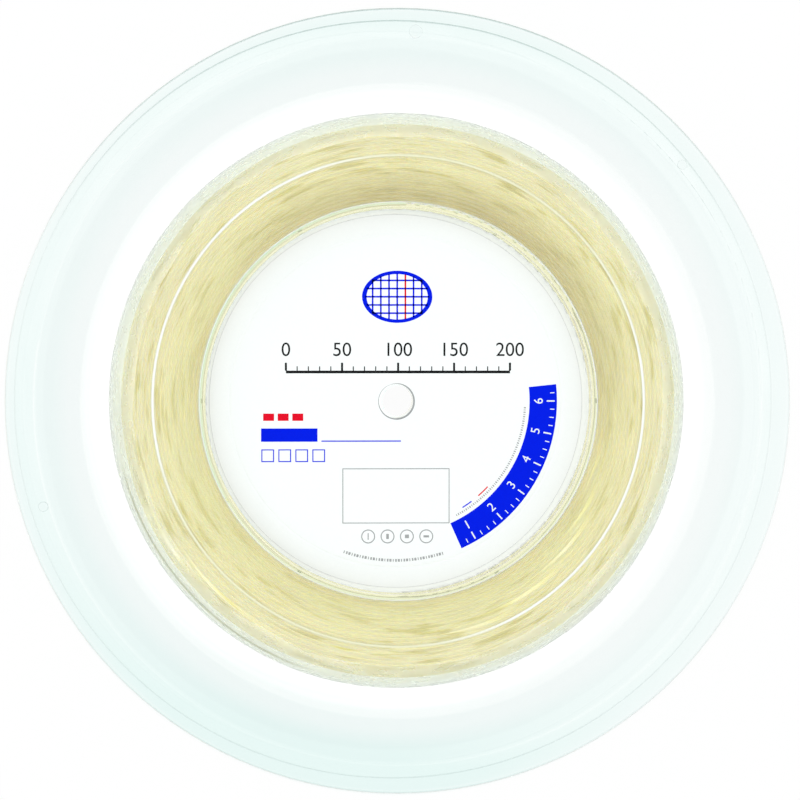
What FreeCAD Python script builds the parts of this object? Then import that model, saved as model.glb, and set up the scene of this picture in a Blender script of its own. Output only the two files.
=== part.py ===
"""String reel: two clear moulded halves that clip together at the hub and carry one wound string.

Frame: millimetres. The origin is the centre of the spindle bore, midway between the rims.
+Z runs along the bore, towards the front label. +Y is the label's upright direction.
The reel lies on its rear rim.
"""
import FreeCAD, Part
import math
import os

os.makedirs("parts", exist_ok=True)

# Rims and flanges
rim_radius = 128.0
overall_width = 38.0
traverse = 25.0
flange_wall = 1.6
land_width = 9.7
dish_width = 14.3
bend_radius = 2.0
rim_edge_flat = 0.1
ring_offset = 15.2
ring_width = 0.7
ring_height = 0.25

# Hub: drum, recessed web and spindle bore
drum_radius = 65.2
drum_wall = 1.6
web_wall = 1.8
label_seat_height = 5.0
mouth_round = 1.5
seat_corner_round = 0.8
inside_round = 0.6
bore_radius = 5.0
bore_wall = 2.5
groove_inset = 6.8
groove_width = 0.8
groove_depth = 0.3

# Ribs and press pegs between the webs
peg_count = 3
rib_thickness = 1.4
rib_overlap = 0.4
peg_circle_radius = 36.0
peg_radius = 1.9
peg_tip_chamfer = 0.4
peg_clearance = 0.05
peg_end_gap = 0.25
peg_boss_wall = 1.7
socket_floor = 0.25

# Small holes near the front rim, where a loose string end is parked
end_hole_inset = 2.2
large_end_hole_radius = 2.1
small_end_hole_radius = 1.5
large_end_hole_angle = 87.5
small_end_hole_angles = [39.9, 196.4]

# String
string_diameter = 1.24
winding_depth = 25.2
winding_crown = 4.7
winding_clearance = 0.05
layer_gap = 0.02
crown_turn_gap = 0.64
start_hole_clearance = 0.38
knot_overhang = 0.9
knot_clearance = 0.1
start_tail_length = 2.5

# Film round the winding, and the strip of tape on its overlap
film_gap = 0.1
film_thickness = 0.25
film_edge_gap = 0.2
tape_gap = 0.05
tape_thickness = 0.12
tape_edge_gap = 2.0
tape_arc = 12.0
tape_angle = 312.0

# Round labels
label_edge_gap = 1.8
label_hole_clearance = 0.63
label_thickness = 0.15
front_label_shift_x = -0.6
front_label_shift_y = -0.05

# Values that follow from the sizes above
half_width = overall_width / 2
flat_inner_z = traverse / 2
flat_outer_z = flat_inner_z + flange_wall
land_inner_z = half_width - flange_wall
land_inner_radius = rim_radius - land_width
flat_zone_radius = land_inner_radius - dish_width
rim_edge_round = (flange_wall - rim_edge_flat) / 2
dish_angle = math.atan2(half_width - flat_outer_z, dish_width)
bend_offset = flange_wall * math.tan(dish_angle / 2)
drum_inner_radius = drum_radius - drum_wall
ring_radius = drum_radius + ring_offset
web_inner_z = label_seat_height - web_wall
bore_tube_radius = bore_radius + bore_wall
rib_count = 2 * peg_count
rib_pitch = 360.0 / rib_count
peg_boss_radius = peg_radius + peg_boss_wall
socket_depth = web_inner_z - socket_floor
peg_length = socket_depth - peg_end_gap
end_hole_circle_radius = land_inner_radius + end_hole_inset
string_radius = string_diameter / 2
start_hole_radius = string_radius + start_hole_clearance
start_angle = 180.0 + rib_pitch / 2
knot_radius = start_hole_radius + knot_overhang
winding_face_radius = drum_radius + winding_depth
winding_mid_radius = winding_face_radius + winding_crown
crown_radius = (flat_inner_z ** 2 + winding_crown ** 2) / (2 * winding_crown)
crown_centre = winding_mid_radius - crown_radius
first_turn_radius = drum_radius + winding_clearance + max(string_radius, inside_round)
last_turn_radius = winding_face_radius - string_radius
layer_steps = round((last_turn_radius - first_turn_radius) / (string_diameter + layer_gap))
layer_pitch = (last_turn_radius - first_turn_radius) / layer_steps
face_turn_height = flat_inner_z - layer_pitch / 2
crown_edge_angle = math.atan2(face_turn_height, last_turn_radius - crown_centre)
crown_turn_circle = crown_radius - string_radius
crown_steps = round(2 * crown_edge_angle * crown_turn_circle / (string_diameter + crown_turn_gap))
label_radius = drum_inner_radius - label_edge_gap
label_hole_radius = bore_radius + label_hole_clearance
groove_radius = label_radius - groove_inset

meeting_tolerance = 0.0001
origin = FreeCAD.Vector(0, 0, 0)
axis_z = FreeCAD.Vector(0, 0, 1)


def at(radius, angle, height):
    """Point at a radius and an angle in degrees about the bore's axis."""
    turn = math.radians(angle)
    return FreeCAD.Vector(radius * math.cos(turn), radius * math.sin(turn), height)


def rounded_outline(corners):
    """Closed wire in the XZ plane through (radius, height, rounding) corners, rounded by tangent arcs."""
    ends = []
    for index, (radius, height, rounding) in enumerate(corners):
        corner = FreeCAD.Vector(radius, 0, height)
        before = corners[index - 1]
        after = corners[(index + 1) % len(corners)]
        to_before = FreeCAD.Vector(before[0], 0, before[1]) - corner
        to_after = FreeCAD.Vector(after[0], 0, after[1]) - corner
        to_before.normalize()
        to_after.normalize()
        if rounding == 0:
            ends.append((corner, None, corner))
            continue
        half_turn = to_before.getAngle(to_after) / 2
        reach = rounding / math.tan(half_turn)
        bisector = to_before + to_after
        bisector.normalize()
        middle = corner + bisector * (rounding / math.sin(half_turn) - rounding)
        ends.append((corner + to_before * reach, middle, corner + to_after * reach))
    edges = []
    for index, (first, middle, last) in enumerate(ends):
        if middle is not None:
            edges.append(Part.Arc(first, middle, last).toShape())
        edges.append(Part.makeLine(last, ends[(index + 1) % len(ends)][0]))
    return Part.Wire(edges)


def turned(wire, sweep=360):
    """Solid made by turning a closed outline about the bore's axis."""
    return Part.Face(wire).revolve(origin, axis_z, sweep)


def half_outline():
    """Section of one moulded half, from the bore out to the rim and back along the string side."""
    ring_edge = ring_width / 2
    ring_top = ring_edge - ring_height / 2
    groove_edge = groove_width / 2
    groove_floor = groove_edge - groove_depth / 2
    return rounded_outline([
        (bore_radius, 0, 0),
        (bore_radius, label_seat_height, 0),
        (groove_radius - groove_edge, label_seat_height, 0),
        (groove_radius - groove_floor, label_seat_height - groove_depth, 0),
        (groove_radius + groove_floor, label_seat_height - groove_depth, 0),
        (groove_radius + groove_edge, label_seat_height, 0),
        (drum_inner_radius, label_seat_height, seat_corner_round),
        (drum_inner_radius, flat_outer_z, mouth_round),
        (ring_radius - ring_edge, flat_outer_z, 0),
        (ring_radius - ring_top, flat_outer_z + ring_height, 0),
        (ring_radius + ring_top, flat_outer_z + ring_height, 0),
        (ring_radius + ring_edge, flat_outer_z, 0),
        (flat_zone_radius, flat_outer_z, bend_radius),
        (land_inner_radius, half_width, bend_radius + flange_wall),
        (rim_radius, half_width, rim_edge_round),
        (rim_radius, land_inner_z, rim_edge_round),
        (land_inner_radius + bend_offset, land_inner_z, bend_radius),
        (flat_zone_radius + bend_offset, flat_inner_z, bend_radius + flange_wall),
        (drum_radius, flat_inner_z, inside_round),
        (drum_radius, 0, 0),
        (drum_inner_radius, 0, 0),
        (drum_inner_radius, web_inner_z, inside_round),
        (bore_tube_radius, web_inner_z, inside_round),
        (bore_tube_radius, 0, 0),
    ])


def rib(angle):
    """Flat rib from the bore tube to the drum wall, as deep as the space between web and seam."""
    inner = bore_tube_radius - rib_overlap
    length = drum_inner_radius + rib_overlap - inner
    bar = Part.makeBox(length, rib_thickness, web_inner_z + rib_overlap)
    bar.translate(FreeCAD.Vector(inner, -rib_thickness / 2, 0))
    bar.rotate(origin, axis_z, angle)
    return bar


def peg_boss(angle):
    """Round boss on a rib, which stiffens a peg or holds a socket."""
    return Part.makeCylinder(peg_boss_radius, web_inner_z + rib_overlap, at(peg_circle_radius, angle, 0))


def peg(angle):
    """Press peg that crosses the seam into the other half's socket."""
    shank_length = peg_length - peg_tip_chamfer
    shank = Part.makeCylinder(
        peg_radius, shank_length + web_inner_z, at(peg_circle_radius, angle, -shank_length))
    tip = Part.makeCone(
        peg_radius - peg_tip_chamfer, peg_radius, peg_tip_chamfer, at(peg_circle_radius, angle, -peg_length))
    return shank.fuse(tip)


def socket(angle):
    """Blind hole that takes the other half's peg."""
    return Part.makeCylinder(peg_radius + peg_clearance, socket_depth, at(peg_circle_radius, angle, 0))


def start_hole():
    """Round hole through the drum at the seam, half of it in each half, for the string's first end."""
    inner = drum_inner_radius - rib_overlap
    return Part.makeCylinder(
        start_hole_radius, drum_wall + 2 * rib_overlap, at(inner, start_angle, 0), at(1, start_angle, 0))


def end_hole(angle, radius):
    """Small through hole in the flat rim land."""
    return Part.makeCylinder(
        radius, 3 * flange_wall, at(end_hole_circle_radius, angle, land_inner_z - flange_wall))


def moulded_half():
    """One half in its front place: shell, ribs, bosses, pegs on every second rib and sockets between them."""
    shell = turned(half_outline())
    ribs = [rib(index * rib_pitch) for index in range(rib_count)]
    bosses = [peg_boss(index * rib_pitch) for index in range(rib_count)]
    pegs = [peg(index * rib_pitch) for index in range(0, rib_count, 2)]
    sockets = [socket(index * rib_pitch) for index in range(1, rib_count, 2)]
    body = shell.multiFuse(ribs + bosses + pegs)
    return body.cut(Part.makeCompound(sockets + [start_hole()]))


def front_half():
    """Front half, with the parking holes."""
    holes = [end_hole(large_end_hole_angle, large_end_hole_radius)]
    holes += [end_hole(angle, small_end_hole_radius) for angle in small_end_hole_angles]
    return moulded_half().cut(Part.makeCompound(holes))


def rear_half():
    """The same moulding turned over midway between two ribs, so that each peg meets a socket."""
    body = moulded_half()
    body.rotate(origin, at(1, rib_pitch / 2, 0), 180)
    return body


def crown_point(offset, height):
    """Point on the winding's crowned outside, moved out by an offset, at a height."""
    reach = crown_radius + offset
    return FreeCAD.Vector(crown_centre + math.sqrt(reach ** 2 - height ** 2), 0, height)


def crown_arc(offset, height):
    """Arc of the crown, from below to above the middle."""
    return Part.Arc(crown_point(offset, -height), crown_point(offset, 0), crown_point(offset, height))


def crown_band(gap, thickness, height):
    """Section of a thin band that follows the crown."""
    inner = crown_arc(gap, height)
    outer = crown_arc(gap + thickness, height)
    return Part.Wire([
        inner.toShape(),
        Part.makeLine(inner.EndPoint, outer.EndPoint),
        outer.toShape(),
        Part.makeLine(outer.StartPoint, inner.StartPoint),
    ])


def turn_ridge(radius, height, ridge_radius, facing):
    """Half-round outside of one turn of string, which faces the way of an angle in the XZ plane."""
    centre = FreeCAD.Vector(radius, 0, height)
    out = FreeCAD.Vector(math.cos(facing), 0, math.sin(facing)) * ridge_radius
    along = FreeCAD.Vector(-math.sin(facing), 0, math.cos(facing)) * ridge_radius
    return Part.Arc(centre - along, centre + out, centre + along)


def string_winding():
    """The wound string as one closed ring: each layer shows on both faces, and the outer turns on the crown."""
    face_radii = [first_turn_radius + step * layer_pitch for step in range(layer_steps + 1)]
    ridges = [
        turn_ridge(radius, -face_turn_height, layer_pitch / 2, -math.pi / 2) for radius in face_radii]
    for step in range(1, crown_steps):
        facing = crown_edge_angle * (2 * step / crown_steps - 1)
        radius = crown_centre + crown_turn_circle * math.cos(facing)
        ridges.append(turn_ridge(radius, crown_turn_circle * math.sin(facing), string_radius, facing))
    ridges += [
        turn_ridge(radius, face_turn_height, layer_pitch / 2, math.pi / 2) for radius in reversed(face_radii)]
    edges = []
    for index, ridge in enumerate(ridges):
        before = ridges[index - 1].EndPoint
        if before.distanceToPoint(ridge.StartPoint) > meeting_tolerance:
            edges.append(Part.makeLine(before, ridge.StartPoint))
        edges.append(ridge.toShape())
    return turned(Part.Wire(edges))


def string_start():
    """First end of the string, through the drum, with the knot behind it that stops it pulling out."""
    knot_centre = drum_inner_radius - knot_clearance - knot_radius
    tail_end = knot_centre - knot_radius - start_tail_length
    thread = Part.makeCylinder(
        string_radius, drum_radius - tail_end, at(tail_end, start_angle, 0), at(1, start_angle, 0))
    return thread.fuse(Part.makeSphere(knot_radius, at(knot_centre, start_angle, 0)))


def film_wrap():
    """Clear film stretched round the winding."""
    return turned(crown_band(film_gap, film_thickness, flat_inner_z - film_edge_gap))


def film_tape():
    """Strip of tape that closes the film."""
    gap = film_gap + film_thickness + tape_gap
    strip = turned(crown_band(gap, tape_thickness, flat_inner_z - tape_edge_gap), tape_arc)
    strip.rotate(origin, axis_z, tape_angle - tape_arc / 2)
    return strip


def round_label(shift_x, shift_y, height):
    """Round label with a hole over the bore."""
    foot = FreeCAD.Vector(shift_x, shift_y, height)
    disc = Part.makeCylinder(label_radius, label_thickness, foot)
    return disc.cut(Part.makeCylinder(label_hole_radius, label_thickness, foot))


pieces = {
    "front_half": front_half(),
    "rear_half": rear_half(),
    "string_winding": string_winding(),
    "string_start": string_start(),
    "film_wrap": film_wrap(),
    "film_tape": film_tape(),
    "front_label": round_label(front_label_shift_x, front_label_shift_y, label_seat_height),
    "rear_label": round_label(0, 0, -label_seat_height - label_thickness),
}

for name, shape in pieces.items():
    shape.exportStep(f"parts/{name}.step")
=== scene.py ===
"""String reel: the finish of its clear halves, the wound string, the film round it and the labels.

Metres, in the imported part's frame. The bore's axis is Z, +Y is the label's upright direction,
and the reel lies on its rear rim.
"""

import math
import random

import bmesh
import bpy
from mathutils import Matrix, Vector, noise


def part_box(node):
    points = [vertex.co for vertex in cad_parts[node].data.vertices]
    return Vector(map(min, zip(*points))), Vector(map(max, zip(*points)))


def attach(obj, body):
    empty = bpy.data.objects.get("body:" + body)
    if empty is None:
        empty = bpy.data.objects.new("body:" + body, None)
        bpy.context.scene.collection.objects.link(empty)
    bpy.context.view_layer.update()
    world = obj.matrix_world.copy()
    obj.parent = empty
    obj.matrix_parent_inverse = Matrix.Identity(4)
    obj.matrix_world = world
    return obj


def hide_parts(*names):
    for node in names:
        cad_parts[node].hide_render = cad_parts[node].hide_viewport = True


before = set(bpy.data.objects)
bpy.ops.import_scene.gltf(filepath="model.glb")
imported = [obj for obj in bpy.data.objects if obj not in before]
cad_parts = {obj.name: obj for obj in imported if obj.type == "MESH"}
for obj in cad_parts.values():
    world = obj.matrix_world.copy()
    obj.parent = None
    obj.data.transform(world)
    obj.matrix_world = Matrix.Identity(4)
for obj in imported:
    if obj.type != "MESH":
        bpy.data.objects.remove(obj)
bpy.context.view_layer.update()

mm = 0.001
body = "root"
full_turn = 2 * math.pi

# Sizes read from the frame
half_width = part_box("front_half")[1].z
winding_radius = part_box("string_winding")[1].x
winding_half_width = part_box("string_winding")[1].z

# Camera, placed from the front rim
camera_height = 1.0
camera_left = 0.044
camera_up = 0.015
aim_right = 0.12 * mm
aim_up = 0.5 * mm
lens_length = 138.4
sensor_width = 36.0

# Winding: one string of 200 m, laid turn beside turn and layer on layer
string_length = 200.0
string_radius = 0.62 * mm
drum_radius = 65.2 * mm
drum_clearance = 0.05 * mm
flange_clearance = 0.10 * mm
crown_clearance = 0.05 * mm
face_radius = 90.4 * mm
crown_height = winding_radius - face_radius
crown_radius = (winding_half_width ** 2 + crown_height ** 2) / (2 * crown_height)
layer_pitch = 1.2584 * mm
turn_pitch = 1.30 * mm
crown_turn_pitch = 1.88 * mm
steps_per_turn = 120
climb_share = 0.05
jog_share = 0.05
jog_spread = (0.7, 1.3)
jog_growth = 0.25
sway_depth = 0.3 * mm
loose_layers = 20
least_drift = 0.002
loose_drift = 0.03
drift_length = 30 * mm
sway_lobes = 2.2
sway_thickness = 6 * mm
winding_seed = 7
string_pieces = 6
string_rounding = 3
# Painted shade on the string near the drum: the angle it is deepest towards, and its colour
painted_shade_angle = 67
painted_shade_colour = (0.55, 0.505, 0.255)
# Colour multiplied in for painted shade in the gaps between turns
gap_shade_colour = (0.80, 0.79, 0.52)

# Glow that ends rays: the counts of bounces past which it comes, how far out from the winding it is
# yellowish in the plastic, and how bright it is on the string
first_bounce = 0.5
glow_after_reflections = 2.5
glow_after_bounces = 8.5
glow_fade = 8 * mm
string_glow_diffused = 1.4
string_glow_guided = 1.27

# Knot behind the drum, in the hub's cavity
start_angle = math.radians(210)
knot_centre = 61.6 * mm
knot_reach = 1.3 * mm
tail_end = 57.2 * mm
tail_before_knot = 2.9 * mm

# Film round the winding, folded over its shoulders, and the tape on its overlap
film_thickness = 0.03 * mm
film_gap = 0.12 * mm
film_face_height = 12.455 * mm
film_edge_radius = 86.9 * mm
film_edge_wander = 0.7 * mm
film_edge_lobes = 5
crease_height = 0.02 * mm
crease_lobes = 26
crease_narrowing = 2.2
# Painted shade: a darker line on the film along one stretch of its shoulder, and its colour
film_shade_angle = 222
film_shade_radius = 92.9 * mm
film_shade_colour = (0.66, 0.68, 0.57)
sharp_angle = math.radians(50)
tape_gap = 0.28 * mm
tape_thickness = 0.05 * mm
tape_half_width = 10.5 * mm
tape_angle = math.radians(312)
tape_arc = math.radians(12)
tape_tooth = 0.35 * mm

# Clear plastic; painted shade along the rims and round the string's end holes: (angle, radius, darkness)
styrene_bending = 1.585
rim_radius = 128 * mm
edge_shade_width = 0.7 * mm
edge_shade = (0.40, 0.50, 0.48)
end_hole_circle = 120.5 * mm
end_hole_shade_width = 0.16 * mm
end_holes = ((87.5, 2.1 * mm, 0.3), (39.9, 1.5 * mm, 0.4), (196.4, 1.5 * mm, 0.75))

# Moulded ring on each flange
ring_radius = 80.4 * mm
ring_top = 14.355 * mm
crest_half_width = 0.44 * mm
crest_height = 0.15 * mm
# Angle of the painted highlight on the crests and of the painted light line on the floor
painted_gleam_angle = 155

# Labels
label_steps = 256
label_hole_radius = 5.63 * mm
label_edge_round = 0.05 * mm
backing_thickness = 0.05 * mm
seat_corner_radius = 63.6 * mm
seat_corner_round = 0.8 * mm
seat_groove_radius = 55.0 * mm
seat_groove_width = 0.9 * mm
seat_groove_dent = 0.08 * mm
ink_thickness = 0.02 * mm

# Floor, with the painted shade of the rims and a thin painted light line. Its middle lies under the front
# rim as the camera sees it, its profile is (share of the way out, darkness), a leaning (angle, strength).
floor_reach = 4
floor_white = 0.965
shade_middle = (1.64 * mm, -0.58 * mm, -half_width)
shade_inner = 98 * mm
shade_outer = 138 * mm
shade_tint = (0.80, 0.93, 0.91)
shade_profile = (
    (0.05, 0), (0.2, 0.13), (0.33, 0.18), (0.47, 0.38), (0.62, 0.4), (0.75, 0.47), (0.83, 0.42), (0.885, 0))
shade_leanings = ((258, 1.14), (90, 0.84), (195, 0.8))
bend_light_radius = 122.9 * mm
bend_light_lean = 0.5

# Bright patches of the surround: (direction, degrees to its full and to its soft edge, colour)
bright_patches = (
    ((0.044, -0.010, 1), 5.9, 6.9, (1.4, 1.35, 1.33)),
    ((-0.92, 0.39, 0.42), 6, 14, (2.2, 2.2, 2.15)),
    ((0.57, -0.82, 0.42), 6, 12, (2.2, 2.2, 2.15)))


def placed(name, data):
    """New object in the scene."""
    item = bpy.data.objects.new(name, data)
    bpy.context.scene.collection.objects.link(item)
    return item


def linked(mesh, name, material):
    """Puts a finished mesh in the scene as a piece of the reel."""
    mesh.materials.append(material)
    piece = placed(name, mesh)
    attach(piece, body)
    return piece


def mesh_of(form, name, smooth=True):
    """Mesh of a bmesh, with its faces pointing outwards."""
    bmesh.ops.recalc_face_normals(form, faces=form.faces)
    mesh = bpy.data.meshes.new(name)
    for face in form.faces:
        face.smooth = smooth
    form.to_mesh(mesh)
    form.free()
    return mesh


def mesh_of_curve(curve):
    """Mesh of a curve or a text."""
    carrier = placed(curve.name, curve)
    bpy.context.view_layer.update()
    mesh = bpy.data.meshes.new_from_object(carrier.evaluated_get(bpy.context.evaluated_depsgraph_get()))
    bpy.data.objects.remove(carrier)
    return mesh


def turned(outline, steps, name, smooth=True):
    """Mesh made by turning a closed outline of (radius, height) points about the bore's axis."""
    form = bmesh.new()
    corners = [form.verts.new((radius, 0, height)) for radius, height in outline]
    sides = [form.edges.new((corner, corners[index - 1])) for index, corner in enumerate(corners)]
    bmesh.ops.spin(
        form, geom=corners + sides, cent=(0, 0, 0), axis=(0, 0, 1), dvec=(0, 0, 0),
        angle=full_turn, steps=steps, use_merge=True)
    return mesh_of(form, name, smooth)


def new_material(name):
    """Material, its nodes and its links."""
    material = bpy.data.materials.new(name)
    material.use_nodes = True
    return material, material.node_tree.nodes, material.node_tree.links


def maths(nodes, links, operation, first, second=None):
    """Math node; each input is a socket or a number."""
    node = nodes.new("ShaderNodeMath")
    node.operation = operation
    for slot, value in enumerate((first, second)):
        if value is None:
            continue
        if isinstance(value, (int, float)):
            node.inputs[slot].default_value = value
        else:
            links.new(value, node.inputs[slot])
    return node.outputs[0]


def vector_maths(nodes, links, operation, value, fixed=(0, 0, 0)):
    """Outputs of a Vector Math node on a socket and a fixed vector."""
    node = nodes.new("ShaderNodeVectorMath")
    node.operation = operation
    links.new(value, node.inputs[0])
    node.inputs[1].default_value = fixed
    return node.outputs


def own_place(nodes):
    """Place on a piece, in the piece's own coordinates."""
    return nodes.new("ShaderNodeTexCoord").outputs["Object"]


def surfaced(nodes, links, surface):
    """Links a shader to the material's output."""
    links.new(surface, nodes["Material Output"].inputs["Surface"])


def ramp(nodes, links, value, stops):
    """Colour ramp through (position, colour) stops."""
    node = nodes.new("ShaderNodeValToRGB")
    elements = node.color_ramp.elements
    while len(elements) < len(stops):
        elements.new(0.5)
    for element, (position, colour) in zip(elements, stops):
        element.position = position
        element.color = (*colour, 1)
    links.new(value, node.inputs[0])
    return node.outputs[0]


def ranged(nodes, links, value, low, high, start, end):
    """Value moved from one range to another, and kept in it."""
    node = nodes.new("ShaderNodeMapRange")
    for name, number in {"From Min": low, "From Max": high, "To Min": start, "To Max": end}.items():
        node.inputs[name].default_value = number
    links.new(value, node.inputs["Value"])
    return node.outputs[0]


def blended(nodes, links, share, under, over, blend="MIX"):
    """Mix of a colour socket with a plain colour over it."""
    mix = nodes.new("ShaderNodeMix")
    mix.data_type = "RGBA"
    mix.blend_type = blend
    links.new(share, mix.inputs["Factor"])
    links.new(under, mix.inputs[6])
    mix.inputs[7].default_value = (*over, 1)
    return mix.outputs[2]


def toward_angle(nodes, links, place, radius, angle, much=1):
    """How far a place lies towards an angle about the bore's axis: from minus to plus this much."""
    turn = math.radians(angle)
    direction = (much * math.cos(turn), much * math.sin(turn), 0)
    reach = vector_maths(nodes, links, "DOT_PRODUCT", place, direction)["Value"]
    return maths(nodes, links, "DIVIDE", reach, radius)


def line_round(nodes, links, radius, middle, core, edge):
    """Mask of a line round the bore's axis, full within its core and gone at its edge."""
    off = maths(nodes, links, "ABSOLUTE", maths(nodes, links, "SUBTRACT", radius, middle))
    return ranged(nodes, links, off, core, edge, 1, 0)


def new_group(name, inputs, outputs):
    """Node group, its nodes and links, and its input and output nodes."""
    group = bpy.data.node_groups.new(name, "ShaderNodeTree")
    for sockets, way in ((inputs, "INPUT"), (outputs, "OUTPUT")):
        for socket in sockets:
            kind = "NodeSocketVector" if socket == "Place" else "NodeSocketFloat"
            group.interface.new_socket(socket, in_out=way, socket_type=kind)
    nodes = group.nodes
    return group, nodes, group.links, nodes.new("NodeGroupInput"), nodes.new("NodeGroupOutput")


def grouped(nodes, links, group, **numbers):
    """Outputs of a node group in a material, read at the piece's own place."""
    node = nodes.new("ShaderNodeGroup")
    node.node_tree = group
    links.new(own_place(nodes), node.inputs["Place"])
    for name, number in numbers.items():
        node.inputs[name].default_value = number
    return node.outputs


def streak_group():
    """Node group: soft streaks that run round the bore's axis, with no seam, and the radius itself."""
    group, nodes, links, given, result = new_group(
        "round_streaks", ("Place", "Along", "Across", "Detail"), ("Streak", "Radius"))
    parts = nodes.new("ShaderNodeSeparateXYZ")
    links.new(given.outputs["Place"], parts.inputs[0])
    radius = maths(nodes, links, "SQRT", maths(
        nodes, links, "ADD",
        maths(nodes, links, "MULTIPLY", parts.outputs["X"], parts.outputs["X"]),
        maths(nodes, links, "MULTIPLY", parts.outputs["Y"], parts.outputs["Y"])))
    place = nodes.new("ShaderNodeCombineXYZ")
    for axis in ("X", "Y"):
        direction = maths(nodes, links, "DIVIDE", parts.outputs[axis], radius)
        around = maths(nodes, links, "MULTIPLY", direction, given.outputs["Along"])
        links.new(around, place.inputs[axis])
    links.new(maths(nodes, links, "MULTIPLY", radius, given.outputs["Across"]), place.inputs["Z"])
    pattern = nodes.new("ShaderNodeTexNoise")
    pattern.noise_dimensions = "4D"
    pattern.inputs["Scale"].default_value = 1
    links.new(place.outputs[0], pattern.inputs["Vector"])
    depth = maths(nodes, links, "MULTIPLY", parts.outputs["Z"], given.outputs["Across"])
    links.new(depth, pattern.inputs["W"])
    links.new(given.outputs["Detail"], pattern.inputs["Detail"])
    links.new(pattern.outputs["Fac"], result.inputs["Streak"])
    links.new(radius, result.inputs["Radius"])
    return group


def streaks(nodes, links, group, along, across, detail):
    """Streaks round the bore's axis on a piece, and the radius there."""
    outputs = grouped(nodes, links, group, Along=along, Across=across, Detail=detail)
    return outputs["Streak"], outputs["Radius"]


def bumped(nodes, links, height, strength, distance):
    """Bump node on a height."""
    node = nodes.new("ShaderNodeBump")
    node.inputs["Strength"].default_value = strength
    node.inputs["Distance"].default_value = distance
    links.new(height, node.inputs["Height"])
    return node.outputs[0]


def mixed(nodes, links, share, first, second):
    """Mix Shader node."""
    mix = nodes.new("ShaderNodeMixShader")
    links.new(share, mix.inputs[0])
    links.new(first, mix.inputs[1])
    links.new(second, mix.inputs[2])
    return mix.outputs[0]


def lets_lamps_through(nodes, links, surface, tint):
    """Mixes in a transparent shader for shadow rays, so that light reaches what is behind clear plastic."""
    path = nodes.new("ShaderNodeLightPath")
    clear = nodes.new("ShaderNodeBsdfTransparent")
    clear.inputs["Color"].default_value = (*tint, 1)
    return mixed(nodes, links, path.outputs["Is Shadow Ray"], surface, clear.outputs[0])


def light_guide(nodes, links, surface, glow):
    """Ends rays that bounced often inside the plastic in a painted glow, pale like the light such a wall
    carries.
    """
    path = nodes.new("ShaderNodeLightPath")
    carried = nodes.new("ShaderNodeEmission")
    links.new(glow, carried.inputs["Color"])
    spent = maths(nodes, links, "GREATER_THAN", path.outputs["Glossy Depth"], glow_after_reflections)
    late = maths(nodes, links, "GREATER_THAN", path.outputs["Ray Depth"], glow_after_bounces)
    return mixed(nodes, links, maths(nodes, links, "MAXIMUM", spent, late), surface, carried.outputs[0])


def painted_edge_shade(nodes, links, place, radius):
    """Painted shade along the rims, most at the top, and round the end holes in front."""
    parts = nodes.new("ShaderNodeSeparateXYZ")
    links.new(place, parts.inputs[0])
    upwards = maths(nodes, links, "DIVIDE", parts.outputs["Y"], radius)
    strength = maths(
        nodes, links, "ADD", ranged(nodes, links, upwards, 0.4, 1, 0.14, 1),
        ranged(nodes, links, upwards, -0.3, -1, 0, 0.25))
    rim = ranged(nodes, links, radius, rim_radius - edge_shade_width, rim_radius - edge_shade_width / 2, 0, 1)
    edge = maths(nodes, links, "MULTIPLY", strength, rim)
    flat = nodes.new("ShaderNodeCombineXYZ")
    for axis in ("X", "Y"):
        links.new(parts.outputs[axis], flat.inputs[axis])
    front = ranged(nodes, links, parts.outputs["Z"], 0, 1 * mm, 0, 1)
    for angle, reach, dark in end_holes:
        turn = math.radians(angle)
        middle = (end_hole_circle * math.cos(turn), end_hole_circle * math.sin(turn), 0)
        away = vector_maths(nodes, links, "DISTANCE", flat.outputs[0], middle)["Value"]
        near = ranged(nodes, links, away, reach, reach + end_hole_shade_width, dark, 0)
        edge = maths(nodes, links, "MAXIMUM", edge, maths(nodes, links, "MULTIPLY", near, front))
    return edge


def clear_plastic(group):
    """Clear moulded plastic, sea-green where light runs far through it, with painted shade along its rims."""
    material, nodes, links = new_material("clear_plastic")
    shader = nodes["Principled BSDF"]
    shader.inputs["Transmission Weight"].default_value = 1
    shader.inputs["IOR"].default_value = styrene_bending
    flow, radius = streaks(nodes, links, group, along=2.5, across=60, detail=2)
    edge = painted_edge_shade(nodes, links, own_place(nodes), radius)
    # Painted shade: the base colour darkens along the rims and round the end holes
    links.new(ramp(nodes, links, edge, [(0, (1, 1, 1)), (1, edge_shade)]), shader.inputs["Base Color"])
    links.new(ranged(nodes, links, flow, 0, 1, 0, 0.05), shader.inputs["Roughness"])
    links.new(bumped(nodes, links, flow, strength=0.15, distance=0.4 * mm), shader.inputs["Normal"])
    from_winding = ranged(nodes, links, radius, winding_radius, winding_radius + glow_fade, 0, 1)
    # Painted glow: yellowish near the winding, pale further out
    glow = ramp(nodes, links, from_winding, [(0, (1.0, 0.92, 0.62)), (1, (0.94, 0.99, 0.97))])
    guided = light_guide(nodes, links, shader.outputs[0], glow)
    surfaced(nodes, links, lets_lamps_through(nodes, links, guided, (0.975, 0.98, 0.98)))
    absorption = nodes.new("ShaderNodeVolumeAbsorption")
    absorption.inputs["Color"].default_value = (0.0, 0.79, 0.64, 1)
    absorption.inputs["Density"].default_value = 7
    links.new(absorption.outputs[0], nodes["Material Output"].inputs["Volume"])
    return material


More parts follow.
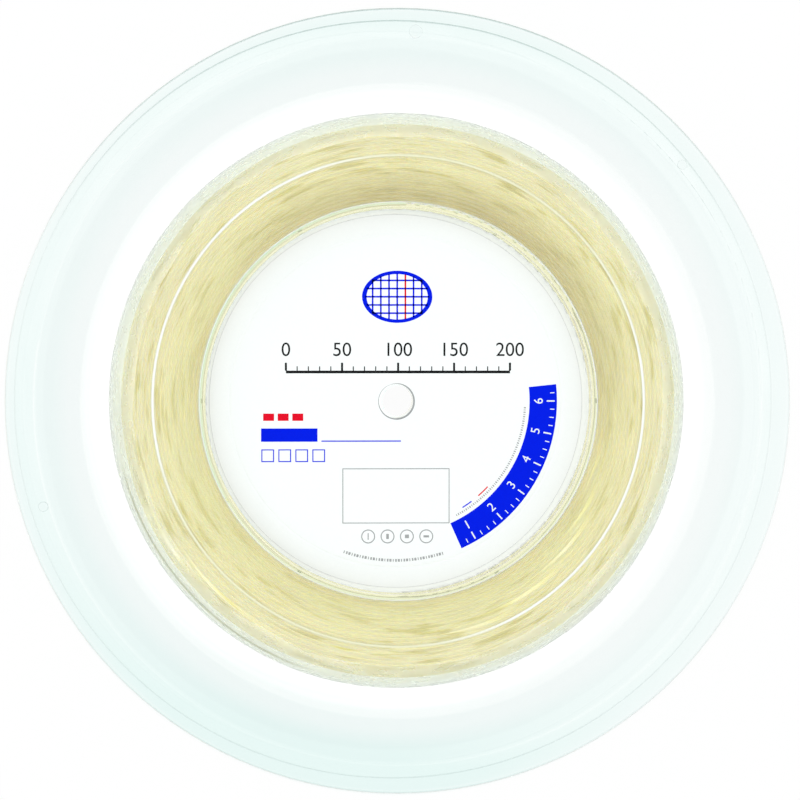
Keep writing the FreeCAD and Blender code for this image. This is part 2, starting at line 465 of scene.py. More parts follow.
def crest_material(group):
    """Crest of a moulded ring, polished less than the flange, with a painted highlight towards two opposite
    angles.
    """
    material, nodes, links = new_material("satin_crest_painted_gleam")
    shader = nodes["Principled BSDF"]
    shader.inputs["Transmission Weight"].default_value = 0.1
    shader.inputs["IOR"].default_value = styrene_bending
    flow, radius = streaks(nodes, links, group, along=2, across=200, detail=2)
    slant = toward_angle(nodes, links, own_place(nodes), radius, painted_gleam_angle)
    # Painted highlight: lighter towards the gleam angle and its opposite, cream elsewhere
    painted_brightness = maths(
        nodes, links, "ADD", maths(nodes, links, "POWER", slant, 4),
        ranged(nodes, links, flow, 0.3, 0.7, -0.15, 0.15))
    colour = ramp(nodes, links, painted_brightness, [(0.0, (0.885, 0.85, 0.60)), (0.45, (1.0, 0.985, 0.95))])
    links.new(colour, shader.inputs["Base Color"])
    links.new(ranged(nodes, links, flow, 0.3, 0.7, 0.12, 0.28), shader.inputs["Roughness"])
    links.new(bumped(nodes, links, flow, strength=0.1, distance=0.1 * mm), shader.inputs["Normal"])
    surfaced(nodes, links, lets_lamps_through(nodes, links, shader.outputs[0], (0.9, 0.9, 0.9)))
    return material


def string_colour(nodes, links, group):
    """Cream of the string, with painted shade near the drum and in dashes between turns, and a darker outer
    band.
    """
    tone, radius = streaks(nodes, links, group, along=5, across=700, detail=2)
    dash, _ = streaks(nodes, links, group, along=6, across=620, detail=1)
    depth = ranged(nodes, links, radius, drum_radius, winding_radius, 0, 1)
    # Painted shade: the base colour is darker near the drum; a darker band lies near the outside
    base = ramp(nodes, links, depth, [
        (0.0, (0.66, 0.615, 0.355)), (0.14, (0.69, 0.67, 0.40)), (0.42, (0.74, 0.71, 0.465)),
        (0.72, (0.735, 0.71, 0.505)), (0.80, (0.60, 0.595, 0.405)), (1.0, (0.65, 0.645, 0.44))])
    # Painted shade near the drum, deepest towards one angle
    side = toward_angle(nodes, links, own_place(nodes), radius, painted_shade_angle)
    shaded_near_drum = maths(
        nodes, links, "MULTIPLY", ranged(nodes, links, side, 0.1, 1, 0, 1),
        ranged(nodes, links, depth, 0.08, 0.42, 1, 0))
    toned = nodes.new("ShaderNodeVectorMath")
    toned.operation = "SCALE"
    links.new(blended(nodes, links, shaded_near_drum, base, painted_shade_colour), toned.inputs[0])
    links.new(ranged(nodes, links, tone, 0.25, 0.75, 0.94, 1.04), toned.inputs["Scale"])
    # Painted shade of the gaps between turns, as sparse darker dashes, weaker near the drum
    gap_shade = maths(
        nodes, links, "MULTIPLY", ranged(nodes, links, dash, 0.55, 0.68, 0, 1),
        ranged(nodes, links, depth, 0.05, 0.4, 0.35, 1))
    return blended(nodes, links, gap_shade, toned.outputs[0], gap_shade_colour, "MULTIPLY")


def string_material(group, name, walls):
    """Multifilament string, lit under its skin, with a painted glow when reached after a bounce or through
    several walls.
    """
    material, nodes, links = new_material(name)
    shader = nodes["Principled BSDF"]
    colour = string_colour(nodes, links, group)
    links.new(colour, shader.inputs["Base Color"])
    stretch = nodes.new("ShaderNodeMapping")
    stretch.inputs["Scale"].default_value = (1, 200, 1)
    links.new(nodes.new("ShaderNodeTexCoord").outputs["UV"], stretch.inputs["Vector"])
    pattern = nodes.new("ShaderNodeTexNoise")
    pattern.inputs["Scale"].default_value = 9
    links.new(stretch.outputs[0], pattern.inputs["Vector"])
    filaments = pattern.outputs["Fac"]
    links.new(bumped(nodes, links, filaments, strength=0.25, distance=0.03 * mm), shader.inputs["Normal"])
    links.new(ranged(nodes, links, filaments, 0.3, 0.7, 0.32, 0.46), shader.inputs["Roughness"])
    shader.inputs["Subsurface Weight"].default_value = 1
    shader.inputs["Subsurface Radius"].default_value = (1, 0.8, 0.45)
    shader.inputs["Subsurface Scale"].default_value = 2.0 * mm
    # Painted glow: the string's own colour as emission on these rays
    path = nodes.new("ShaderNodeLightPath")
    mirrored = maths(nodes, links, "GREATER_THAN", path.outputs["Glossy Depth"], first_bounce)
    walled = maths(nodes, links, "GREATER_THAN", path.outputs["Transmission Depth"], walls)
    guided = maths(nodes, links, "MAXIMUM", mirrored, walled)
    diffused = maths(nodes, links, "GREATER_THAN", path.outputs["Diffuse Depth"], first_bounce)
    strength = ranged(nodes, links, guided, 0, 1, string_glow_diffused, string_glow_guided)
    carried = nodes.new("ShaderNodeEmission")
    links.new(colour, carried.inputs["Color"])
    links.new(strength, carried.inputs["Strength"])
    spent = maths(nodes, links, "MAXIMUM", diffused, guided)
    surfaced(nodes, links, mixed(nodes, links, spent, shader.outputs[0], carried.outputs[0]))
    return material


def film_shade_line(nodes, links, radius):
    """Mask of a painted shade line on the film, along one stretch of its shoulder."""
    toward = toward_angle(nodes, links, own_place(nodes), radius, film_shade_angle)
    line = line_round(nodes, links, radius, film_shade_radius, 0.15 * mm, 0.5 * mm)
    return maths(nodes, links, "MULTIPLY", line, ranged(nodes, links, toward, 0.86, 0.93, 0, 1))


def film_material(group, name, tint, clearness, bending, with_shade_line=False):
    """Thin cling film, clear with a milky haze; one copy has a painted shade line along its shoulder."""
    material, nodes, links = new_material(name)
    shader = nodes["Principled BSDF"]
    shader.inputs["Base Color"].default_value = (*tint, 1)
    shader.inputs["Transmission Weight"].default_value = clearness
    shader.inputs["IOR"].default_value = bending
    haze, radius = streaks(nodes, links, group, along=14, across=500, detail=4)
    if with_shade_line:
        # Painted shade: a darker line along one stretch of the shoulder
        line_shape = film_shade_line(nodes, links, radius)
        links.new(ramp(nodes, links, line_shape, [(0, tint), (1, film_shade_colour)]), shader.inputs["Base Color"])
    links.new(ranged(nodes, links, haze, 0.3, 0.7, 0.18, 0.40), shader.inputs["Roughness"])
    links.new(bumped(nodes, links, haze, strength=0.1, distance=0.2 * mm), shader.inputs["Normal"])
    surfaced(nodes, links, lets_lamps_through(nodes, links, shader.outputs[0], (0.96, 0.96, 0.96)))
    return material


def tape_material(group):
    """Clear tape with fine drawn lines and a faintly yellow glue."""
    material, nodes, links = new_material("clear_tape")
    shader = nodes["Principled BSDF"]
    lines, _ = streaks(nodes, links, group, along=3, across=2500, detail=2)
    links.new(
        ramp(nodes, links, lines, [(0.3, (0.96, 0.95, 0.88)), (0.7, (0.99, 0.985, 0.95))]),
        shader.inputs["Base Color"])
    shader.inputs["Transmission Weight"].default_value = 0.8
    shader.inputs["IOR"].default_value = 1.47
    links.new(ranged(nodes, links, lines, 0.3, 0.7, 0.06, 0.2), shader.inputs["Roughness"])
    links.new(bumped(nodes, links, lines, strength=0.2, distance=0.05 * mm), shader.inputs["Normal"])
    surfaced(nodes, links, lets_lamps_through(nodes, links, shader.outputs[0], (0.95, 0.945, 0.92)))
    return material


def fibre_group():
    """Node group: paper fibres, as a soft mask."""
    group, nodes, links, given, result = new_group("paper_fibres", ("Place", "Scale"), ("Fibre",))
    pattern = nodes.new("ShaderNodeTexNoise")
    pattern.inputs["Detail"].default_value = 4
    pattern.inputs["Distortion"].default_value = 1.5
    links.new(given.outputs["Place"], pattern.inputs["Vector"])
    links.new(given.outputs["Scale"], pattern.inputs["Scale"])
    links.new(pattern.outputs["Fac"], result.inputs["Fibre"])
    return group


def label_paper(group, name, thin, full):
    """White label paper with a satin finish."""
    material, nodes, links = new_material(name)
    shader = nodes["Principled BSDF"]
    grain = grouped(nodes, links, group, Scale=900)["Fibre"]
    links.new(ramp(nodes, links, grain, [(0.3, thin), (0.7, full)]), shader.inputs["Base Color"])
    links.new(bumped(nodes, links, grain, strength=0.2, distance=0.02 * mm), shader.inputs["Normal"])
    links.new(ranged(nodes, links, grain, 0.3, 0.7, 0.38, 0.48), shader.inputs["Roughness"])
    return material


def ink(group, name, thin, full):
    """Printing ink, a little thinner where the paper's fibres stand up."""
    material, nodes, links = new_material(name)
    shader = nodes["Principled BSDF"]
    cover = grouped(nodes, links, group, Scale=1400)["Fibre"]
    links.new(ramp(nodes, links, cover, [(0.35, full), (0.75, thin)]), shader.inputs["Base Color"])
    shader.inputs["Specular IOR Level"].default_value = 0.03
    links.new(ranged(nodes, links, cover, 0.3, 0.7, 0.3, 0.45), shader.inputs["Roughness"])
    links.new(bumped(nodes, links, cover, strength=0.15, distance=0.02 * mm), shader.inputs["Normal"])
    return material


def winding_outline_radius(height, inset):
    """Radius of the winding's crowned outside at a height, moved in by an inset."""
    return winding_radius - crown_radius + math.sqrt((crown_radius - inset) ** 2 - height ** 2)


def widest_height(radius):
    """How far from the middle a turn of this radius may lie."""
    by_flange = winding_half_width - string_radius - flange_clearance
    out = radius - (winding_radius - crown_radius)
    reach = crown_radius - string_radius - crown_clearance
    if out <= 0:
        return by_flange
    if out >= reach:
        return 0
    return min(by_flange, math.sqrt(reach ** 2 - out ** 2))


def eased(share):
    """Smooth step from 0 to 1."""
    share = min(max(share, 0), 1)
    return share * share * (3 - 2 * share)


def wound_string():
    """Points of the whole string, layer by layer, until its length is used up."""
    chance = random.Random(winding_seed)
    points = []
    length = 0
    step = 0
    layer = 0
    side = -1
    while True:
        radius = drum_radius + drum_clearance + string_radius + layer * layer_pitch
        loose = layer / loose_layers
        limit = widest_height(radius)
        turns = int(2 * limit / (turn_pitch if radius < face_radius else crown_turn_pitch)) + 1
        pitch = 2 * limit / max(turns - 1, 1)
        jogs = [
            min(1, jog_share * chance.uniform(*jog_spread) + jog_growth * min(n, turns - 2 - n))
            for n in range(turns)]
        last_share = chance.uniform(0.985 - 0.06 * loose, 0.995)
        count = round((turns - 1 + last_share) * steps_per_turn)
        climb = climb_share * steps_per_turn
        for index in range(count):
            along = index / steps_per_turn
            turn = int(along)
            jog = jogs[turn]
            across = turn + eased((along - turn - 1 + jog) / jog) if turn < turns - 1 else turns - 1
            height = side * (limit - across * pitch)
            rise = eased((index - count + climb) / climb) * layer_pitch
            drift = noise.noise(Vector((length / drift_length, 5.3, 1.7)))
            angle = step * full_turn / steps_per_turn
            sway = noise.noise(Vector((
                sway_lobes * math.cos(angle), sway_lobes * math.sin(angle), radius / sway_thickness)))
            distance = radius + rise + sway_depth * loose * sway
            height *= 1 - (loose_drift * loose + least_drift) * abs(drift)
            edge = winding_outline_radius(height, string_radius + crown_clearance)
            distance = min(distance, edge)
            point = Vector((distance * math.cos(angle), distance * math.sin(angle), height))
            if points:
                length += (point - points[-1]).length
            points.append(point)
            if length >= string_length:
                return points
            step += 1
        layer += 1
        side = -side


def tube(points, radius, name, rounding):
    """Round tube through points, as a mesh."""
    curve = bpy.data.curves.new(name, "CURVE")
    curve.dimensions = "3D"
    curve.bevel_depth = radius
    curve.bevel_resolution = rounding
    curve.use_fill_caps = True
    line = curve.splines.new("POLY")
    line.points.add(len(points) - 1)
    line.points.foreach_set("co", [value for point in points for value in (*point, 1)])
    mesh = mesh_of_curve(curve)
    mesh.materials.clear()
    return mesh


def winding(material):
    """The wound string, in a few pieces that follow on from each other."""
    points = wound_string()
    share = math.ceil(len(points) / string_pieces)
    for index in range(string_pieces):
        run = points[index * share:(index + 1) * share + 1]
        name = f"string_turns_{index + 1}"
        piece = linked(tube(run, string_radius, name, string_rounding), name, material)
        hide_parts("string_winding")


def knot(material):
    """First end of the string: a tail, an overhand knot and the stretch that goes out through the drum."""
    ends = 0.4
    furthest = 2.1
    along_axis = knot_reach / 9.51
    across_axis = knot_reach / 2.6
    count = 90
    loop = []
    for index in range(count + 1):
        turn = furthest * (2 * index / count - 1)
        spread = across_axis * (1 - eased((abs(turn) - furthest + ends) / ends))
        loop.append((
            knot_centre + along_axis * (turn ** 5 - 10 * turn),
            spread * (turn ** 3 - 3 * turn),
            spread * (turn ** 4 - 4 * turn ** 2 + 2)))
    line = [(tail_end, 0, 0), (knot_centre - tail_before_knot, 0, 0)] + loop + [(drum_radius, 0, 0)]
    line = [point for point in line if point[0] <= drum_radius]
    turned_to = Matrix.Rotation(start_angle, 3, "Z")
    mesh = tube([turned_to @ Vector(point) for point in line], string_radius, "string_start_knot", 6)
    piece = linked(mesh, "string_start_knot", material)
    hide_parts("string_start")


def crown_line(gap, height, count):
    """Points up the crown, moved out by a gap, from minus to plus a height."""
    heights = [height * (2 * index / count - 1) for index in range(count + 1)]
    return [(winding_outline_radius(place, -gap), place) for place in heights]


def spun_sheet(line, start, sweep, steps):
    """Bmesh of a thin open sheet, turned about the bore's axis from a line of (radius, height) points."""
    form = bmesh.new()
    turn = Matrix.Rotation(start, 3, "Z")
    corners = [form.verts.new(turn @ Vector((radius, 0, height))) for radius, height in line]
    sides = [form.edges.new(pair) for pair in zip(corners, corners[1:])]
    bmesh.ops.spin(
        form, geom=corners + sides, cent=(0, 0, 0), axis=(0, 0, 1), dvec=(0, 0, 0),
        angle=sweep, steps=steps, use_merge=sweep == full_turn)
    return form


def thickened(form, thickness, name):
    """Mesh of a sheet with its thickness."""
    bmesh.ops.recalc_face_normals(form, faces=form.faces)
    bmesh.ops.solidify(form, geom=form.faces[:], thickness=thickness)
    for edge in form.edges:
        edge.smooth = edge.calc_face_angle(0) < sharp_angle
    return mesh_of(form, name)


def film(single, layered):
    """Film over the crown and both shoulders, creased, with a wandering edge; its crown gets a layered film's
    material.
    """
    rings = 6
    rows = 30
    steps = 540
    over_face = face_radius - film_edge_radius
    face = [(film_edge_radius + over_face * index / rings, film_face_height) for index in range(rings + 1)]
    low_face = [(radius, -height) for radius, height in face]
    line = low_face + crown_line(film_gap, film_face_height, rows) + face[::-1]
    form = spun_sheet(line, 0, full_turn, steps)
    for corner in form.verts:
        around = corner.co.xy.normalized()
        distance = corner.co.xy.length
        if distance < face_radius:
            edge = noise.fractal(Vector((*around * film_edge_lobes, corner.co.z * 100)), 1, 2, 2)
            pull = (face_radius - distance) / over_face
            distance += film_edge_wander * edge * pull
        else:
            line_shape = noise.fractal(Vector((*around * crease_lobes, corner.co.z * 260)), 1, 2, 3)
            fade = eased(1 - abs(corner.co.z) / film_face_height)
            distance += crease_height * max(0, 1 - crease_narrowing * abs(line_shape)) * fade
        corner.co.xy = around * distance
    mesh = thickened(form, film_thickness, "film_round_string")
    piece = linked(mesh, "film_round_string", single)
    mesh.materials.append(layered)
    for face in mesh.polygons:
        face.material_index = int(face.center.xy.length > face_radius + film_gap)
    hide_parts("film_wrap")


def tape(material):
    """Strip of tape on the film's overlap, its two ends cut by a toothed blade."""
    steps = 40
    rows = 42
    start = tape_angle - tape_arc / 2
    form = spun_sheet(crown_line(tape_gap, tape_half_width, rows), start, tape_arc, steps)
    tooth_angle = tape_tooth / winding_radius
    for corner in form.verts:
        place = math.atan2(corner.co.y, corner.co.x) % full_turn
        from_end = min(place - tape_angle + tape_arc / 2, tape_angle + tape_arc / 2 - place)
        if from_end < tape_arc / steps / 2:
            tooth = round(corner.co.z / (2 * tape_half_width / rows)) % 2
            inwards = 1 if place < tape_angle else -1
            corner.co = Matrix.Rotation(inwards * tooth * tooth_angle, 3, "Z") @ corner.co
    piece = linked(thickened(form, tape_thickness, "tape_on_film"), "tape_on_film", material)
    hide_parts("film_tape")


def ring_crests(material):
    """Rounded crest of the moulded ring on each flange."""
    count = 8
    for name, facing in (("front_ring_crest", 1), ("rear_ring_crest", -1)):
        outline = []
        for index in range(count + 1):
            turn = math.pi * index / count
            outline.append((
                ring_radius + crest_half_width * math.cos(turn),
                facing * (ring_top + crest_height * math.sin(turn))))
        linked(turned(outline, 360, name), name, material)


def label_backing(name, node, material, facing):
    """White backing of a label, whose rim bends up a little in the seat's rounded corner."""
    low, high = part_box(node)
    seat = low.z if facing > 0 else high.z
    flat_radius = seat_corner_radius - seat_corner_round
    underside = [(label_hole_radius, 0)]
    for index in range(6):
        turn = math.radians(8 * index)
        out = seat_corner_round * math.sin(turn)
        underside.append((flat_radius + out, seat_corner_round - seat_corner_round * math.cos(turn)))
    top = [(radius, height + backing_thickness) for radius, height in underside[::-1]]
    gap = backing_thickness / 10
    outline = [(radius, seat + facing * (height + gap)) for radius, height in underside + top]
    piece = linked(turned(outline, label_steps, name, smooth=False), name, material)
    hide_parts(node)


def label(name, node, material, facing):
    """Round label with softened edges and the ring that the seat's groove leaves in it."""
    low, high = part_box(node)
    radius = (high.x - low.x) / 2
    thickness = high.z - low.z
    back = 1.2 * backing_thickness * facing
    front = thickness * facing
    soft = label_edge_round * facing
    ring = seat_groove_width / 2
    outline = [
        (label_hole_radius, back),
        (label_hole_radius, front - soft),
        (label_hole_radius + label_edge_round, front),
        (seat_groove_radius - ring, front),
        (seat_groove_radius - ring / 2, front - seat_groove_dent * facing),
        (seat_groove_radius + ring / 2, front - seat_groove_dent * facing),
        (seat_groove_radius + ring, front),
        (radius - label_edge_round, front),
        (radius, front - soft),
        (radius, back),
    ]
    mesh = turned(outline, label_steps, name, smooth=False)
    middle = (low + high) / 2
    mesh.transform(Matrix.Translation((middle.x, middle.y, low.z if facing > 0 else high.z)))
    piece = linked(mesh, name, material)
    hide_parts(node)


def bar(form, middle_x, middle_y, width, height, turn=0):
    """Adds a flat rectangle, in millimetres from the label's middle, to a bmesh."""
    place = Matrix.Translation((middle_x, middle_y, 0)) @ Matrix.Rotation(turn, 4, "Z")
    sized = place @ Matrix.Diagonal((width, height, 1, 1))
    bmesh.ops.create_grid(form, x_segments=1, y_segments=1, size=0.5, matrix=sized)


def arc(form, inner, outer, start, sweep, centre=(0, 0)):
    """Adds a flat ring, or a stretch of one in degrees, to a bmesh."""
    middle = Vector((*centre, 0))
    direction = Vector((math.cos(math.radians(start)), math.sin(math.radians(start)), 0))
    corners = [form.verts.new(middle + direction * radius) for radius in (inner, outer)]
    side = form.edges.new(corners)
    bmesh.ops.spin(
        form, geom=corners + [side], cent=middle, axis=(0, 0, 1), dvec=(0, 0, 0),
        angle=math.radians(sweep), steps=math.ceil(sweep / 3), use_merge=sweep == 360)


def hole_shadow_ring(form, inner):
    """Adds a thin ring of painted shadow round the label's hole to a bmesh, heaviest at the lower right."""
    thin = 0.16
    swell = 0.44
    top_thinning = 0.12
    arc(form, inner, inner + 1, 0, 360)
    for corner in form.verts:
        if corner.co.length < inner + 0.5:
            continue
        angle = math.atan2(corner.co.y, corner.co.x)
        heavy = (1 + math.cos(angle + math.pi / 6)) / 2
        top = max(0, math.cos(angle - 1.8)) ** 8
        corner.co = corner.co.normalized() * (inner + thin + swell * heavy - top_thinning * top)


def frame_of(form, middle_x, middle_y, width, height, line):
    """Adds the outline of a rectangle to a bmesh."""
    for side in (-1, 1):
        bar(form, middle_x, middle_y + side * (height - line) / 2, width, line)
        bar(form, middle_x + side * (width - line) / 2, middle_y, line, height - 2 * line)


def figures(form, text, size, middle_x, middle_y, turn=0):
    """Adds plain figures to a bmesh."""
    curve = bpy.data.curves.new("figures", "FONT")
    curve.body = text
    curve.size = size
    curve.align_x = "CENTER"
    curve.align_y = "CENTER"
    mesh = mesh_of_curve(curve)
    mesh.transform(Matrix.Translation((middle_x, middle_y, 0)) @ Matrix.Rotation(turn, 4, "Z"))
    form.from_mesh(mesh)


def printed(form, name, material, node, coat):
    """Puts a flat bmesh of print, in millimetres, on a label; a second coat lies on the first."""
    low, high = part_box(node)
    bmesh.ops.remove_doubles(form, verts=form.verts, dist=0.0001)
    raised = bmesh.ops.extrude_face_region(form, geom=form.faces[:])
    lifted = [part for part in raised["geom"] if isinstance(part, bmesh.types.BMVert)]
    bmesh.ops.translate(form, verts=lifted, vec=(0, 0, 1))
    middle = (low + high) / 2
    if middle.z > 0:
        place = Matrix.Translation((middle.x, middle.y, high.z + coat * ink_thickness))
    else:
        turn_over = Matrix.Rotation(math.pi, 4, "Y")
        place = Matrix.Translation((middle.x, middle.y, low.z - coat * ink_thickness)) @ turn_over
    scaled = place @ Matrix.Diagonal((mm, mm, ink_thickness, 1))
    bmesh.ops.transform(form, matrix=scaled, verts=form.verts)
    linked(mesh_of(form, name, smooth=False), name, material)


def length_scale(form, middle_x, middle_y, width, step, tall):
    """Adds a ruled scale of string length, with plain figures above it, to a bmesh."""
    marks = 4
    parts = 5
    bar(form, middle_x, middle_y, width, 0.9)
    for index in range(marks * parts + 1):
        main = index % parts == 0
        high = 2.6 if main else 1.4
        place = middle_x - width / 2 + width * index / (marks * parts)
        bar(form, place, middle_y + 0.45 + high / 2, 0.7 if main else 0.35, high)
        if main:
            figures(form, str(index // parts * step), tall, place, middle_y + 4.0 + tall / 2)


def string_bed(form, accent, middle_x, middle_y, wide, high):
    """Adds a small round of crossed strings in a hoop to a bmesh, one string of it to another."""
    line = 0.55
    spacing = 2.7
    hoop = bmesh.new()
    arc(hoop, 1 - 1.5 / wide, 1, 0, 360)
    bmesh.ops.transform(
        hoop, verts=hoop.verts,
        matrix=Matrix.Translation((middle_x, middle_y, 0)) @ Matrix.Diagonal((wide, high, 1, 1)))
    mesh = bpy.data.meshes.new("hoop")
    hoop.to_mesh(mesh)
    hoop.free()
    form.from_mesh(mesh)
    for index in range(-3, 4):
        place = index * spacing
        reach = 2 * (high - 1) * math.sqrt(1 - (place / wide) ** 2)
        bar(accent if index == 1 else form, middle_x + place, middle_y, line, reach)
    for index in range(-2, 3):
        place = index * spacing
        reach = 2 * (wide - 1) * math.sqrt(1 - (place / high) ** 2)
        bar(form, middle_x, middle_y + place, reach, line)


def ray_mark(form, radius, angle, length, width):
    """Adds a short mark that points away from the label's middle to a bmesh."""
    turn = math.radians(angle)
    bar(form, radius * math.cos(turn), radius * math.sin(turn), length, width, turn)


def dial_band(deep, pale):
    """Adds a band with marks and the figures 1 to 6 on it to two bmeshes."""
    start = -66
    inner = 44.2
    outer = 53.3
    mark_step = 3
    marks = 23
    per_figure = 4
    figure_radius = 47.3
    arc(deep, inner, outer, start, mark_step * (marks + 1))
    for index in range(marks):
        angle = start + mark_step * (index + 1)
        main = index % per_figure == 1
        length = 2.6 if main else 1.4
        ray_mark(pale, outer - 0.8 - length / 2, angle, length, 0.45 if main else 0.28)
        if main:
            turn = math.radians(angle)
            figures(
                pale, str(index // per_figure + 1), 4.2, figure_radius * math.cos(turn),
                figure_radius * math.sin(turn), turn + math.pi / 2)


def front_print(black, blue, red, grey, white):
    """Front label's plain print: a length scale, boxes to mark, a dial band; and a painted shadow round its
    hole.
    """
    dark = bmesh.new()
    length_scale(dark, 0.7, 9.6, 74, 50, 6.4)
    printed(dark, "front_print_black", black, "front_label", 0)

    deep = bmesh.new()
    warm = bmesh.new()
    pale = bmesh.new()
    string_bed(deep, warm, 0.4, 34.4, 11.6, 8.6)
    bar(deep, -35.2, -11.2, 18.6, 4.4)
    bar(deep, -11.5, -13.2, 26.2, 0.4)
    for index in range(4):
        frame_of(deep, -42.3 + 5.6 * index, -18.0, 4.2, 4.2, 0.35)
    dial_band(deep, pale)
    arc(deep, 41.3, 41.7, -58, 5)
    printed(deep, "front_print_blue", blue, "front_label", 0)

    for index in range(3):
        bar(warm, -42.0 + 4.8 * index, -5.3, 3.6, 2.4)
    arc(warm, 41.3, 41.7, -49, 6)
    printed(warm, "front_print_red", red, "front_label", 0)

    faint = bmesh.new()
    # Painted shadow round the label's hole, printed in grey with the rest
    hole_shadow_ring(faint, 5.68)
    arc(faint, 61.5, 61.56, 0, 360)
    frame_of(faint, 0, -31.3, 35.4, 18.2, 0.3)
    for index in range(4):
        place = -9.2 + 6.4 * index
        arc(faint, 1.95, 2.3, 0, 360, (place, -44.7))
        bar(faint, place, -44.7, 0.35 + 0.5 * index, 2.2 - 0.5 * index)
    for index in range(37):
        ray_mark(faint, 52.6, index - 109, 0.9, 0.3 + 0.2 * (index % 3))
    for index in range(60):
        ray_mark(faint, 42.7, index - 62, 0.7, 0.25 + 0.15 * (index % 2))
    printed(faint, "front_print_grey_and_hole_shadow", grey, "front_label", 0)
    printed(pale, "front_print_white", white, "front_label", 1)


def rear_print(blue, grey):
    """Plain print of the rear label: a thin ring, ruled lines and a blank box."""
    faint = bmesh.new()
    frame_of(faint, 0, -28, 44, 18, 0.3)
    for index in range(4):
        bar(faint, 0, 34 - 6.5 * index, 52, 0.25)
    for index in range(72):
        ray_mark(faint, 52, 5 * index, 1.6, 0.25)
    printed(faint, "rear_print_grey", grey, "rear_label", 0)
    deep = bmesh.new()
    arc(deep, 57.4, 58.6, 0, 360)
    printed(deep, "rear_print_blue", blue, "rear_label", 0)


def floor_shade(nodes, links):
    """Colour of the floor: white, with the painted pale sea-green shade that the rims throw under themselves.
    """
    place = vector_maths(nodes, links, "SUBTRACT", own_place(nodes), shade_middle)["Vector"]
    radius = vector_maths(nodes, links, "LENGTH", place)["Value"]
    leaning = 0
    for angle, much in shade_leanings:
        part = maths(nodes, links, "MAXIMUM", toward_angle(nodes, links, place, radius, angle, much), 0)
        leaning = maths(nodes, links, "ADD", maths(nodes, links, "POWER", part, 4), leaning)
    # Painted shade: a sea-green ring under the rims, heavier towards the leanings
    ring = ramp(
        nodes, links, ranged(nodes, links, radius, shade_inner, shade_outer, 0, 1),
        [(share, (dark, dark, dark)) for share, dark in shade_profile])
    amount = maths(nodes, links, "MULTIPLY", ring, maths(nodes, links, "ADD", leaning, 1))
    # Painted light line where the flange bends, strongest towards the gleam angle and its opposite
    slant = toward_angle(nodes, links, place, radius, painted_gleam_angle, bend_light_lean)
    bend = maths(
        nodes, links, "MULTIPLY", line_round(nodes, links, radius, bend_light_radius, 0.3 * mm, 0.7 * mm),
        maths(nodes, links, "MULTIPLY", slant, slant))
    amount = maths(nodes, links, "SUBTRACT", amount, bend)
    return ramp(nodes, links, amount, [(0, (1, 1, 1)), (1, shade_tint)])


def floor():
    """Pale floor under the reel, white to the camera but for the reel's painted shade."""
    form = bmesh.new()
    bmesh.ops.create_grid(form, x_segments=1, y_segments=1, size=floor_reach)
    bmesh.ops.translate(form, verts=form.verts, vec=(0, 0, -half_width))
    mesh = mesh_of(form, "floor", smooth=False)
    piece = placed("floor", mesh)
    material, nodes, links = new_material("floor")
    shader = nodes["Principled BSDF"]
    shader.inputs["Base Color"].default_value = (0.95, 0.95, 0.95, 1)
    shader.inputs["Roughness"].default_value = 0.8
    glow = nodes.new("ShaderNodeEmission")
    links.new(floor_shade(nodes, links), glow.inputs["Color"])
    path = nodes.new("ShaderNodeLightPath")
    seen = path.outputs["Is Camera Ray"]
    for kind in ("Is Transmission Ray", "Is Glossy Ray"):
        seen = maths(nodes, links, "MAXIMUM", seen, path.outputs[kind])
    share = maths(nodes, links, "MULTIPLY", seen, floor_white)
    surfaced(nodes, links, mixed(nodes, links, share, shader.outputs[0], glow.outputs[0]))
    mesh.materials.append(material)


def area_lamp(name, place, size, power):
    """Broad square lamp that faces the reel."""
    data = bpy.data.lights.new(name, "AREA")
    data.shape = "SQUARE"
    data.size = size
    data.energy = power
    lamp = placed(name, data)
    lamp.location = place
    lamp.rotation_euler = Vector(place).to_track_quat("Z", "Y").to_euler()
    lamp.visible_glossy = False
    lamp.visible_transmission = False


def patch(nodes, links, direction, toward, inner, outer):
    """Mask of the surround within some degrees of a direction, soft between inner and outer."""
    facing = vector_maths(nodes, links, "DOT_PRODUCT", direction, Vector(toward).normalized())["Value"]
    near, far = (math.cos(math.radians(angle)) for angle in (inner, outer))
    return ranged(nodes, links, facing, far, near, 0, 1)


def light():
    """Plain soft light: a pale surround, brightest overhead, and two broad lamps."""
    world = bpy.data.worlds.new("studio")
    bpy.context.scene.world = world
    world.use_nodes = True
    nodes = world.node_tree.nodes
    links = world.node_tree.links
    surround = nodes["Background"]
    direction = nodes.new("ShaderNodeTexCoord").outputs["Generated"]
    parts = nodes.new("ShaderNodeSeparateXYZ")
    links.new(direction, parts.inputs[0])
    shade = ramp(nodes, links, parts.outputs["Z"], [
        (0.0, (0.40, 0.42, 0.42)), (0.25, (0.50, 0.53, 0.53)), (0.55, (0.74, 0.79, 0.78)),
        (0.84, (0.82, 0.88, 0.87)), (0.94, (0.98, 1.05, 1.02))])
    for toward, inner, outer, colour in bright_patches:
        shade = blended(nodes, links, patch(nodes, links, direction, toward, inner, outer), shade, colour)
    links.new(shade, surround.inputs["Color"])
    backdrop = nodes.new("ShaderNodeBackground")
    path = nodes.new("ShaderNodeLightPath")
    backdrop.inputs["Color"].default_value = (1, 1, 1, 1)
    links.new(
        mixed(nodes, links, path.outputs["Is Camera Ray"], surround.outputs[0], backdrop.outputs[0]),
        nodes["World Output"].inputs["Surface"])
    area_lamp("key_lamp", (0.3, 0.6, 1.85), size=1.0, power=7.4)
    area_lamp("fill_lamp", (-0.8, -0.15, 1.75), size=1.0, power=3.4)


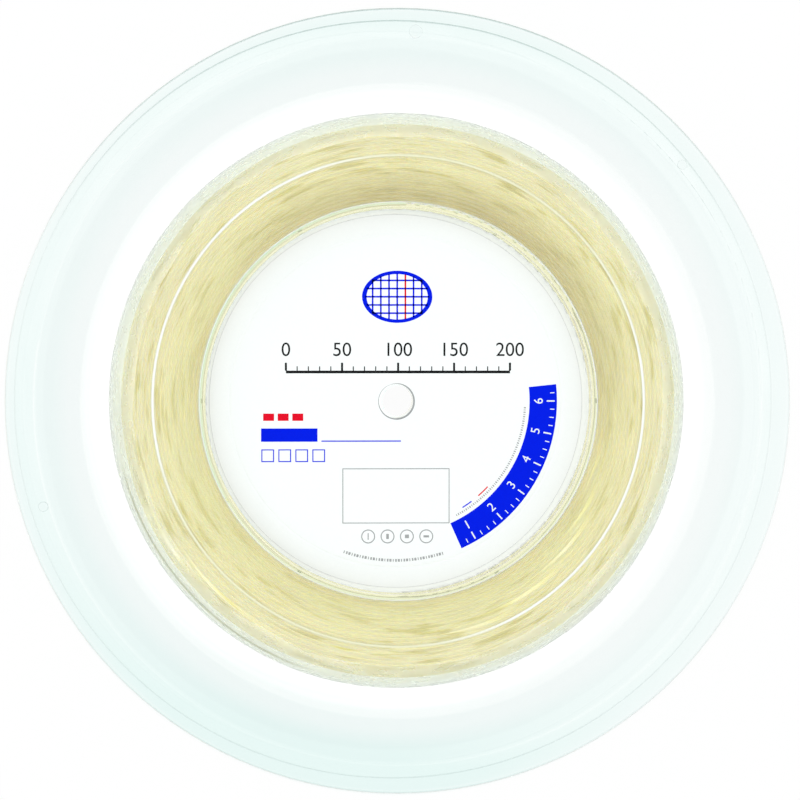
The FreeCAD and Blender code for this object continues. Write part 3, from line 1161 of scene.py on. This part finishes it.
def camera():
    """Camera above the reel, a little to the left and above its middle, with +Y up in the picture."""
    data = bpy.data.cameras.new("camera")
    data.lens = lens_length
    data.sensor_width = sensor_width
    eye = placed("camera", data)
    place = Vector((-camera_left, camera_up, half_width + camera_height))
    back = (place - Vector((aim_right, aim_up, half_width))).normalized()
    right = Vector((0, 1, 0)).cross(back).normalized()
    up = back.cross(right)
    turn = Matrix((right, up, back)).transposed()
    eye.matrix_world = Matrix.Translation(place) @ turn.to_4x4()
    bpy.context.scene.camera = eye


flow = streak_group()
fibre = fibre_group()
plastic = clear_plastic(flow)
satin_and_painted_gleam = crest_material(flow)
cream = string_material(flow, "cream_string", walls=4.5)
# A copy with the painted glow after fewer walls, so the knot in the shaded cavity glows
cream_glowing_behind_web = string_material(flow, "cream_string_glowing_behind_web", walls=1.5)
cling = film_material(flow, "cling_film", (1, 1, 1), clearness=0.94, bending=1.2)
layered_cling = film_material(
    flow, "layered_cling_film", (0.965, 0.985, 0.965), clearness=0.56, bending=1.08, with_shade_line=True)
clear_tape = tape_material(flow)
paper = label_paper(fibre, "label_paper", (0.925, 0.925, 0.935), (0.945, 0.942, 0.952))
# Painted light: the liner is a lighter copy of the label paper, against the shade by the drum wall
lit_liner = label_paper(fibre, "label_liner", (0.97, 0.975, 0.972), (0.985, 0.988, 0.986))
black = ink(fibre, "black_ink", (0.02, 0.02, 0.022), (0.007, 0.007, 0.008))
blue = ink(fibre, "blue_ink", (0.0, 0.014, 0.80), (0.0, 0.011, 0.74))
red = ink(fibre, "red_ink", (0.82, 0.01, 0.03), (0.74, 0.002, 0.018))
grey = ink(fibre, "grey_ink", (0.42, 0.42, 0.43), (0.33, 0.33, 0.34))
white = ink(fibre, "white_ink", (0.90, 0.92, 0.92), (0.86, 0.88, 0.88))

for name in ("front_half", "rear_half"):
    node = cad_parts[name]
    node.data.materials.clear()
    node.data.materials.append(plastic)
winding(cream)
knot(cream_glowing_behind_web)
film(cling, layered_cling)
tape(clear_tape)
ring_crests(satin_and_painted_gleam)
for side, facing in (("front", 1), ("rear", -1)):
    label_backing(f"{side}_label_backing", f"{side}_label", lit_liner, facing)
    label(f"{side}_label_sheet", f"{side}_label", paper, facing)
front_print(black, blue, red, grey, white)
rear_print(blue, grey)

floor()
light()
camera()
bpy.context.scene.view_settings.view_transform = "Standard"
